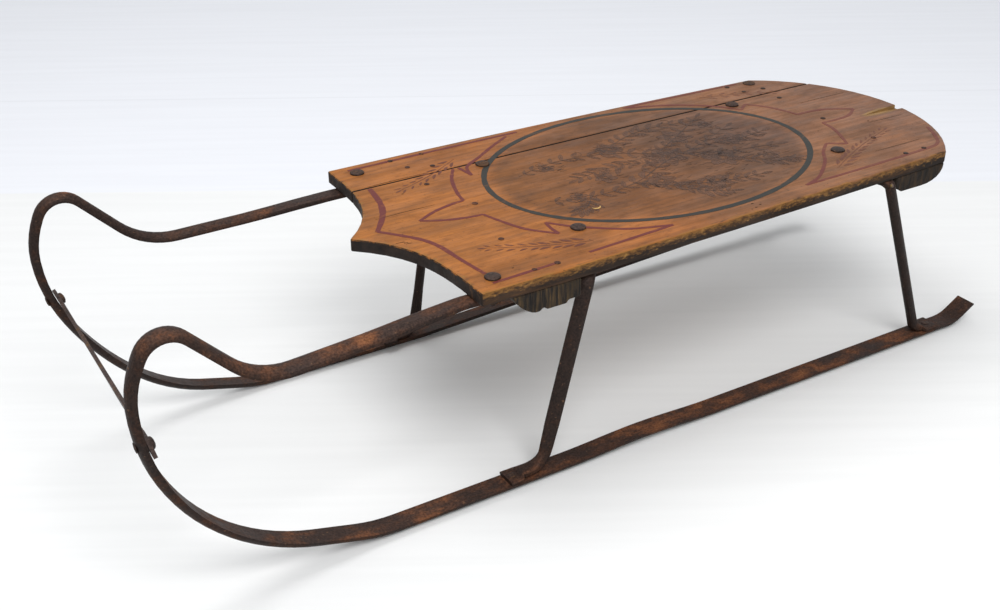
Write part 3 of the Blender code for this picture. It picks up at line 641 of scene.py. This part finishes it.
def speckled(name, colour, roughness):
    """A plain colour with a little lighter and darker dirt in it, for cracks and the nick."""
    look = Shading(name, roughness)
    dirt = look.noise((180, 260, 260), 3, 0.6)
    return look.wear(look.shade(colour, dirt, 0.3, 0.7, 0.7, 1.3))


def new_piece(name, shape, material, smooth=None):
    """Makes a named piece of a bmesh, lets it ride on the sled and says whose finish it takes."""
    mesh = bpy.data.meshes.new(name)
    shape.to_mesh(mesh)
    shape.free()
    if smooth is not None:
        mesh.shade_smooth()
        mesh.set_sharp_from_angle(angle=math.radians(smooth))
    mesh.materials.append(material)
    piece = bpy.data.objects.new(name, mesh)
    bpy.context.scene.collection.objects.link(piece)
    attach(piece, "root")


def add_shape(target, part):
    """Adds a small bmesh to a bigger one, and frees the small one."""
    mesh = bpy.data.meshes.new("part")
    part.to_mesh(mesh)
    part.free()
    target.from_mesh(mesh)
    bpy.data.meshes.remove(mesh)


def smooth_path(points, steps):
    """A soft path through flat points, with this many steps from each point to the next."""
    path = []
    ends = [points[0]] + list(points) + [points[-1]]
    for a, b, c, d in zip(ends, ends[1:], ends[2:], ends[3:]):
        for i in range(steps):
            t = i / steps
            path.append(tuple(
                0.5 * (2 * q + (r - p) * t + (2 * p - 5 * q + 4 * r - s) * t * t
                       + (3 * q - p - 3 * r + s) * t ** 3)
                for p, q, r, s in zip(a, b, c, d)
            ))
    return path + [points[-1]]


def next_rise(target):
    """A tiny height of its own for each painted shape, so that crossing shapes never share a plane."""
    return len(target.verts) % RISES * RISE_STEP


def lay_stripe(target, path, width, taper=1.0, wobble=None):
    """Lays one flat painted line along deck millimetres, by extruding an edge from point to point.

    Taper is the share of the width that is left at the ends, and wobble makes the width uneven.
    """
    shape = bmesh.new()
    rise = next_rise(target)
    places = [on_deck(*point, rise) for point in path]
    closed = path[0] == path[-1]
    last = len(places) - 1
    front = None
    for i, place in enumerate(places):
        if closed:
            ahead = places[(i + 1) % last] - places[(i - 1) % last]
        else:
            ahead = places[min(i + 1, last)] - places[max(i - 1, 0)]
        across = Vector((-ahead.y, ahead.x, 0)).normalized() * width * MM / 2
        if taper < 1.0:
            across *= taper + (1 - taper) * math.sin(math.pi * i / last)
        if wobble:
            across *= 1 + wobble.uniform(-BRUSH_WOBBLE, BRUSH_WOBBLE)
        if front is None:
            left, right = shape.verts.new(place + across), shape.verts.new(place - across)
            front = shape.edges.new((left, right))
            continue
        made = bmesh.ops.extrude_edge_only(shape, edges=[front])["geom"]
        new = [part for part in made if isinstance(part, bmesh.types.BMVert)]
        new.sort(key=lambda vert: (vert.co - left.co).length)
        left, right = new
        left.co, right.co = place + across, place - across
        front = shape.edges.get(new)
    # The last edge of a closed stripe lies on its first.
    if closed:
        bmesh.ops.remove_doubles(shape, verts=shape.verts, dist=width * MM * 0.3)
    add_shape(target, shape)


def raise_paint(target, height):
    """Gives flat painted shapes their thickness, from just inside the board to just above it."""
    target.normal_update()
    for face in target.faces:
        if face.normal.z < 0:
            face.normal_flip()
    bmesh.ops.translate(target, verts=target.verts, vec=(0, 0, -PAINT_DEPTH))
    made = bmesh.ops.extrude_face_region(target, geom=target.faces[:])["geom"]
    top = [part for part in made if isinstance(part, bmesh.types.BMVert)]
    bmesh.ops.translate(target, verts=top, vec=(0, 0, PAINT_DEPTH + height))
    bmesh.ops.recalc_face_normals(target, faces=target.faces)
    return target


def paint_oval():
    """The oval's line, as one closed stripe of uneven width."""
    shape = bmesh.new()
    path = []
    for i in range(OVAL_STEPS):
        angle = 2 * math.pi * i / OVAL_STEPS
        path.append((
            OVAL_CENTRE[0] + OVAL_HALF[0] * math.cos(angle),
            OVAL_CENTRE[1] + OVAL_HALF[1] * math.sin(angle),
        ))
    lay_stripe(shape, path + [path[0]], OVAL_WIDTH, wobble=random.Random(OVAL_SEED))
    return raise_paint(shape, OVAL_HEIGHT)


def paint_lines(lines, height):
    """Brush lines, each with its own width in millimetres and a little thicker in its middle."""
    shape = bmesh.new()
    chances = random.Random(LINES_SEED)
    for width, path in lines:
        lay_stripe(shape, smooth_path(path, 6), width, taper=0.8, wobble=chances)
    return raise_paint(shape, height)


def blade_outline(base, heading, length, width, bow):
    """Deck millimetres round a pointed leaf that starts at its base and bends aside by its bow."""
    along, aside = axes(heading)
    points = []
    for i in range(BLADE_SIDES):
        angle = 2 * math.pi * i / BLADE_SIDES
        run = (1 - math.cos(angle)) / 2
        out = math.sin(angle) * math.sqrt(max(0.0, 1 - (2 * run - 1) ** 2)) * width / 2
        sweep = out + bow * length * math.sin(math.pi * run)
        point = Vector(base) + along * run * length + aside * sweep
        points.append((point.x, point.y))
    return points


def lay_blade(target, base, heading, length, width, bow=0.0):
    """Lays a flat pointed leaf, shaped from a filled circle."""
    shape = bmesh.new()
    rise = next_rise(target)
    made = bmesh.ops.create_circle(shape, cap_ends=True, segments=BLADE_SIDES, radius=1.0)
    for vert, point in zip(made["verts"], blade_outline(base, heading, length, width, bow)):
        vert.co = on_deck(*point, rise)
    add_shape(target, shape)


def paint_ferns():
    """Sprigs of thin leaves in pairs along a bowed stem."""
    shape = bmesh.new()
    chances = random.Random(FERNS_SEED)
    for start, stop, pairs, leaf in FERNS:
        start, stop = Vector(start), Vector(stop)
        run = stop - start
        heading = math.atan2(run.y, run.x)
        aside = Vector((-run.y, run.x)).normalized()
        stem = [
            tuple(start + run * i / FERN_STEPS + aside * FERN_BOW * math.sin(math.pi * i / FERN_STEPS))
            for i in range(FERN_STEPS + 1)
        ]
        lay_stripe(shape, smooth_path(stem, 3), FERN_STEM_WIDTH, taper=0.4)
        for i in range(pairs):
            share = (i + 0.7) / pairs
            base = start + run * share + aside * FERN_BOW * math.sin(math.pi * share)
            size = leaf * (1.15 - 0.55 * share) * chances.uniform(0.85, 1.1)
            for way in (-1, 1):
                spread = way * math.radians(chances.uniform(17, 27))
                root = base + aside * way * FERN_BOW
                lay_blade(shape, root, heading + spread, size * 0.8, size * 0.22, way * -0.05)
        lay_blade(shape, stop, heading, leaf * 0.6, leaf * 0.16)
    return raise_paint(shape, FERN_HEIGHT)


def draw_leaf(fills, lines, base, heading, length, width, bow):
    """A leaf or petal: a faded fill, a thin outline, and a rib with slanting veins."""
    lay_blade(fills, base, heading, length, width, bow)
    outline = blade_outline(base, heading, length, width, bow)
    lay_stripe(lines, outline + [outline[0]], OUTLINE_WIDTH)
    along, aside = axes(heading)

    def on_rib(share):
        return Vector(base) + along * length * share + aside * bow * length * math.sin(math.pi * share)

    rib = [tuple(on_rib(share)) for share in (0.05, 0.35, 0.65, 0.92)]
    lay_stripe(lines, rib, RIB_WIDTH, taper=0.4)
    if length <= VEINED_LENGTH:
        return
    for share in (0.3, 0.5, 0.7):
        root = on_rib(share)
        for way in (-1, 1):
            tip = root + along * width * 0.28 + aside * way * width * 0.34
            lay_stripe(lines, [tuple(root), tuple((root + tip) / 2), tuple(tip)], VEIN_WIDTH, taper=0.5)


def draw_blossom(fills, lines, place, radius, petals, turn):
    """Two rings of petals round a small open heart with a ring of dots."""
    for ring, size in ((0, 1.0), (1, 0.66)):
        for k in range(petals):
            heading = 2 * math.pi * (k + turn + ring / 2) / petals
            start = Vector(place) + axes(heading)[0] * radius * 0.24
            width = radius * size * 3.4 / petals
            draw_leaf(fills, lines, tuple(start), heading, radius * (size - 0.2), width, 0.0)
    lay_stripe(lines, [around(place, radius * 0.17, a / 2) for a in range(13)], STROKE_WIDTH)
    for k in range(7):
        x, y = around(place, radius * 0.26, 2 * math.pi * k / 7)
        lay_blade(lines, (x - 0.5, y), 0.0, 1.0, 1.0)


def draw_stem(fills, lines, stem, chances):
    """A stem with pairs of leaves that grow towards its middle, a last leaf, and curling tendrils."""
    path = smooth_path(stem, 8)
    lay_stripe(lines, path, STEM_WIDTH, taper=0.4)
    for i in range(2, len(path) - 1, 2):
        (ax, ay), (bx, by) = path[i - 1], path[i]
        heading = math.atan2(by - ay, bx - ax)
        ends = min(i, len(path) - i) / len(path)
        for way in (-1, 1):
            spread = way * math.radians(chances.uniform(28, 64))
            length = chances.uniform(7, 12) + 14 * ends
            width = length * chances.uniform(0.26, 0.38)
            bow = way * chances.uniform(0.02, 0.12)
            draw_leaf(fills, lines, path[i], heading + spread, length, width, bow)
    end = math.atan2(path[-1][1] - path[-3][1], path[-1][0] - path[-3][0])
    draw_leaf(fills, lines, path[-1], end, 12, 4, 0.0)
    for i in range(5, len(path) - 2, 7):
        curl = []
        side = chances.choice((-1, 1))
        start = chances.uniform(0, 6)
        for k in range(13):
            x, y = around(path[i], 7.0 - k * 0.46, start + side * k * 0.55)
            curl.append((x - 6, y + 6 * side))
        lay_stripe(lines, curl, CURL_WIDTH, taper=0.3)


def hatch_blossom(lines, place, radius, chances):
    """Short slanting brush strokes scattered over and round a blossom."""
    for _ in range(int(radius * 1.6)):
        angle, reach = chances.uniform(0, 2 * math.pi), radius * chances.uniform(0.9, 1.9)
        x, y = place[0] + reach * math.cos(angle), place[1] + reach * math.sin(angle) * 0.9
        slant, length = chances.uniform(-0.35, 0.35) + math.pi, chances.uniform(4, 9)
        stroke = []
        for share in (0, 0.35, 0.7, 1):
            sag = 0.8 * math.sin(math.pi * share)
            stroke.append((
                x + length * share * math.cos(slant),
                y + length * share * math.sin(slant) + sag,
            ))
        lay_stripe(lines, stroke, STROKE_WIDTH, taper=0.3)


def paint_spray():
    """Leaves and blossoms as faded fills, with drawn outlines, ribs, stems and hatching over them."""
    fills, lines = bmesh.new(), bmesh.new()
    chances = random.Random(SPRAY_SEED)
    for stem in SPRAY_STEMS:
        draw_stem(fills, lines, stem, chances)
    for place, radius, petals in BLOSSOMS:
        draw_blossom(fills, lines, place, radius, petals, chances.uniform(0, 1))
        hatch_blossom(lines, place, radius, chances)
    return raise_paint(fills, FILL_HEIGHT), raise_paint(lines, INK_HEIGHT)


def seat_on(node, start, direction):
    """Where a straight line meets a CAD node, and the way the surface faces there."""
    hit, place, facing, _ = nodes[node].ray_cast(Vector(start), Vector(direction))
    if not hit:
        raise ValueError("nothing to sit on: " + node)
    return place, facing


def stand(target, shape, place, facing):
    """Moves a shape made upright at the origin onto a surface, and adds it to a bigger one."""
    turn = UP.rotation_difference(facing.normalized()).to_matrix().to_4x4()
    bmesh.ops.transform(shape, matrix=Matrix.Translation(place) @ turn, verts=shape.verts)
    add_shape(target, shape)


def domed_head(radius, height, flatness, sink, chances, sides=20):
    """A hammered rivet or bolt head: a flattened half ball, with its foot sunk a little."""
    shape = bmesh.new()
    bmesh.ops.create_uvsphere(shape, u_segments=sides, v_segments=12, radius=1.0)
    geometry = shape.verts[:] + shape.edges[:] + shape.faces[:]
    bmesh.ops.bisect_plane(shape, geom=geometry, plane_co=(0, 0, 0), plane_no=(0, 0, -1),
                           clear_outer=True)
    bmesh.ops.holes_fill(shape, edges=[edge for edge in shape.edges if edge.is_boundary])
    for vert in shape.verts:
        up = max(vert.co.z, 0.0)
        knock = 1 + chances.uniform(-KNOCK_ASIDE, KNOCK_ASIDE)
        vert.co.x *= radius * knock
        vert.co.y *= radius * knock
        vert.co.z = height * up ** flatness * (1 + chances.uniform(-KNOCK_DOWN, KNOCK_DOWN))
        if up < 0.02:
            vert.co.z = -sink
    bmesh.ops.recalc_face_normals(shape, faces=shape.faces)
    return shape


def square_nut(turn):
    """A square nut with worn corners on the end of its bolt."""
    shape = bmesh.new()
    bmesh.ops.create_cube(shape, size=1.0)
    bmesh.ops.scale(shape, vec=(NUT_SIDE, NUT_SIDE, NUT_HEIGHT), verts=shape.verts)
    bmesh.ops.bevel(shape, geom=shape.edges[:], offset=NUT_SIDE * NUT_BEVEL, segments=2, profile=0.5,
                    affect="EDGES", material=-1)
    bmesh.ops.translate(shape, verts=shape.verts, vec=(0, 0, NUT_HEIGHT / 2))
    bolt = bmesh.new()
    bmesh.ops.create_cone(bolt, cap_ends=True, segments=16, radius1=BOLT_RADIUS, radius2=BOLT_RADIUS,
                          depth=BOLT_REACH)
    rim = [edge for edge in bolt.edges if min(vert.co.z for vert in edge.verts) > 0]
    bmesh.ops.bevel(bolt, geom=rim, offset=BOLT_RADIUS * BOLT_BEVEL, segments=2, profile=0.5,
                    affect="EDGES", material=-1)
    bolt_middle = NUT_HEIGHT + BOLT_REACH / 2 - BOLT_IN_NUT
    bmesh.ops.translate(bolt, verts=bolt.verts, vec=(0, 0, bolt_middle))
    add_shape(shape, bolt)
    bmesh.ops.rotate(shape, verts=shape.verts, cent=(0, 0, 0), matrix=Matrix.Rotation(turn, 3, "Z"))
    return shape


def make_bolts(material):
    """Bolt heads on the deck, one of them nearly flush."""
    shape = bmesh.new()
    chances = random.Random(BOLTS_SEED)
    for place, _ in BOLTS:
        head = FLUSH_BOLT_HEAD if place == FLUSH_BOLT else BOLT_HEAD
        stand(shape, domed_head(*head, chances), on_deck(*place), UP)
    new_piece("deck_bolt_heads", shape, material, HEAD_ANGLE)


def make_nails(material):
    """Small nail heads on the deck, over the cleats."""
    shape = bmesh.new()
    chances = random.Random(NAILS_SEED)
    for place in NAILS:
        radius = chances.uniform(*NAIL_RADII)
        head = domed_head(radius, NAIL_HEIGHT, NAIL_FLATNESS, NAIL_SINK, chances, NAIL_SIDES)
        stand(shape, head, on_deck(*place), UP)
    new_piece("deck_nail_heads", shape, material, HEAD_ANGLE)


def make_nuts(material):
    """Nuts under the deck on the bolts through the neck lugs, the bench irons and the rear cleat."""
    shape = bmesh.new()
    chances = random.Random(NUTS_SEED)
    for (forward, left), node in BOLTS:
        above = on_deck(forward, left)
        place, _ = seat_on(node, (above.x, above.y, BELOW_DECK), UP)
        stand(shape, square_nut(chances.uniform(0, 1.2)), place, DOWN)
    new_piece("bolt_nuts", shape, material, NUT_ANGLE)


def make_rivets(material, bare):
    """Rivet heads in the spreader's lugs, the feet of the bench irons and the left rear leg."""
    chances = random.Random(RIVETS_SEED)
    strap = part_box("spreader_strap")
    shape = bmesh.new()
    for runner, y, z in STRAP_RIVETS:
        behind = seat_on("spreader_strap", (strap[0].x - OFF_STRAP, y, z), (1, 0, 0))
        stand(shape, domed_head(*STRAP_RIVET_HEAD, chances), *behind)
        ahead = seat_on(runner, (strap[1].x + OFF_STRAP, y, z), (-1, 0, 0))
        stand(shape, domed_head(*STRAP_RIVET_TAIL, chances), *ahead)
    new_piece("spreader_rivets", shape, material, HEAD_ANGLE)

    shape = bmesh.new()
    for node, set_in in FOOT_RIVETS:
        for y in (FOOT_RIVET_Y, -FOOT_RIVET_Y):
            foot = [v.co.x for v in nodes[node].data.vertices if v.co.z < FOOT_TOP and v.co.y * y > 0]
            toe = max(foot) if set_in > 0 else min(foot)
            on_foot = seat_on(node, (toe - set_in, y, OVER_FEET), DOWN)
            stand(shape, domed_head(*FOOT_RIVET_HEAD, chances), *on_foot)
    new_piece("foot_rivets", shape, material, HEAD_ANGLE)

    shape = bmesh.new()
    on_leg = seat_on("bench_iron_rear", (LEG_RIVET_X, DECK_HALF, LEG_RIVET_Z), (0, -1, 0))
    stand(shape, domed_head(*LEG_RIVET_HEAD, chances), *on_leg)
    new_piece("leg_rivet", shape, bare, HEAD_ANGLE)


def make_marks(dark, pale):
    """A zigzag crack by the front point, hairline splits along the grain, picks, and a pale nick."""
    cracks = bmesh.new()
    lay_stripe(cracks, ZIGZAG, ZIGZAG_WIDTH, taper=0.5)
    for x, y, length in PICKS:
        lay_blade(cracks, (x, y), PICK_HEADING, length, length * 0.5, PICK_BOW)
    for hair in HAIRLINES:
        lay_stripe(cracks, smooth_path(hair, 4), HAIRLINE_WIDTH, taper=0.2)
    new_piece("deck_cracks", raise_paint(cracks, CRACK_HEIGHT), dark)
    nick = bmesh.new()
    arc = [around(NICK_CENTRE, NICK_RADIUS, a / 10) for a in range(2, 30, 3)]
    lay_stripe(nick, arc, NICK_WIDTH, taper=0.2)
    new_piece("deck_nick", raise_paint(nick, NICK_HEIGHT), pale)


def make_stage():
    """A pale floor that turns a little bluer and greyer behind the sled."""
    shape = bmesh.new()
    bmesh.ops.create_grid(shape, x_segments=1, y_segments=1, size=FLOOR_HALF)
    bmesh.ops.translate(shape, verts=shape.verts, vec=(0, 0, -FLOOR_DROP))
    mesh = bpy.data.meshes.new("floor")
    shape.to_mesh(mesh)
    shape.free()
    look = Shading("pale_floor", 0.65)
    past = look.calc(
        "ADD",
        look.product(look.calc("SUBTRACT", look.x, BACKDROP_EDGE[0]), -BACKDROP_RUN.y),
        look.product(look.calc("SUBTRACT", look.y, BACKDROP_EDGE[1]), BACKDROP_RUN.x),
    )
    brushed = look.tree.nodes.new("ShaderNodeMapping")
    brushed.vector_type = "TEXTURE"
    look.fill(brushed, "Vector", look.place)
    look.fill(brushed, "Rotation", (0, 0, math.atan2(BACKDROP_RUN.y, BACKDROP_RUN.x)))
    look.place = brushed.outputs[0]
    streaks = look.noise((3, 70, 1), 3, 0.5)
    floor_colour = look.shade(FLOOR_COLOUR, streaks, 0.3, 0.7, 0.975, 1.0)
    backdrop = look.shade(BACKDROP_COLOUR, streaks, 0.3, 0.7, 0.975, 1.0)
    joint = look.calc("ABSOLUTE", look.calc("SUBTRACT", past, BACKDROP_JOINT))
    backdrop = look.shade(backdrop, joint, 0.0005, 0.0035, 0.95, 1.0)
    colour = look.blend(look.fade(past, -0.004, 0.004), floor_colour, backdrop)
    mesh.materials.append(look.wear(colour))
    floor = bpy.data.objects.new("floor", mesh)
    bpy.context.scene.collection.objects.link(floor)


def make_studio():
    """A pale even sky and two soft round lamps over the sled."""
    world = bpy.data.worlds.new("studio")
    world.use_nodes = True
    sky = world.node_tree.nodes["Background"]
    sky.inputs["Color"].default_value = SKY_COLOUR
    sky.inputs["Strength"].default_value = SKY_STRENGTH
    bpy.context.scene.world = world
    bpy.context.scene.view_settings.view_transform = "Standard"
    for name, place, power in LAMPS:
        lamp = bpy.data.lights.new(name, "AREA")
        lamp.shape = "DISK"
        lamp.size = LAMP_SIZE
        lamp.energy = power
        made = bpy.data.objects.new(name, lamp)
        made.location = place
        aim = Vector(LAMP_AIM) - Vector(place)
        made.rotation_euler = aim.to_track_quat("-Z", "Y").to_euler()
        bpy.context.scene.collection.objects.link(made)


def make_camera():
    """The photo's view, with the small roll that its camera had."""
    lens = bpy.data.cameras.new("photo_view")
    lens.sensor_width = 36.0
    lens.lens = CAMERA_LENS
    lens.clip_start = 0.01
    camera = bpy.data.objects.new("photo_view", lens)
    ahead = CAMERA_AHEAD.normalized()
    level_right = ahead.cross(UP).normalized()
    level_up = level_right.cross(ahead)
    right = level_right * math.cos(CAMERA_ROLL) - level_up * math.sin(CAMERA_ROLL)
    up = level_up * math.cos(CAMERA_ROLL) + level_right * math.sin(CAMERA_ROLL)
    turn = Matrix((right, up, -ahead)).transposed().to_4x4()
    x, y, z = CAMERA_PLACE
    camera.matrix_world = Matrix.Translation((SHOULDER_X + x, y, z)) @ turn
    bpy.context.scene.collection.objects.link(camera)
    bpy.context.scene.camera = camera


def dress(names, material):
    """Gives CAD nodes their material."""
    for name in names:
        slots = nodes[name].data.materials
        slots.clear()
        slots.append(material)


make_camera()
make_stage()
make_studio()

dress(["deck_board_left", "deck_board_right"], deck_finish("varnished_pine"))
dress(["cleat_front"], batten_finish("weathered_batten", 430, 7))
dress(["cleat_rear"], batten_finish("rear_batten", 210, 2))
dress(["runner_left", "runner_right"], iron_finish("runner_iron", 0.02, 0))
dress(["bench_iron_front", "bench_iron_rear"], iron_finish("bench_iron", -0.03, 0))
dress(["spreader_strap"], iron_finish("strap_iron", -0.06, 16))

fastener_iron = iron_finish("fastener_iron", -0.02, 6)
make_bolts(fastener_iron)
make_nails(iron_finish("nail_iron", 0.05, -4))
make_nuts(fastener_iron)
make_rivets(fastener_iron, iron_finish("bare_iron", -0.05, 40))

green_black = worn_paint("green_black_paint", linear(36, 40, 38), 0.97, 0.26, 1.0)
burgundy = worn_paint("burgundy_paint", linear(98, 36, 36), 0.96, 0.30)
fern_brown = worn_paint("fern_paint", linear(86, 42, 34), 0.88, 0.34)
spray_wash = worn_paint("spray_wash", linear(84, 64, 58), 0.34, 0.34, 1.0)
spray_ink = worn_paint("spray_ink", linear(44, 36, 35), 0.80, 0.34, 1.0)
border = FRONT_BORDER + [(LINE_WIDTH, path) for path in SIDE_BORDER]
brackets = [(LINE_WIDTH, path) for path in BRACKETS]
spray_fills, spray_lines = paint_spray()
new_piece("painted_oval", paint_oval(), green_black)
new_piece("painted_border", paint_lines(border, BORDER_HEIGHT), burgundy)
new_piece("painted_brackets", paint_lines(brackets, BRACKET_HEIGHT), burgundy)
new_piece("painted_ferns", paint_ferns(), fern_brown)
new_piece("spray_fills", spray_fills, spray_wash)
new_piece("spray_lines", spray_lines, spray_ink)
make_marks(
    speckled("crack_dirt", linear(44, 32, 26), 0.9),
    speckled("fresh_nick", linear(206, 166, 100), 0.6),
)
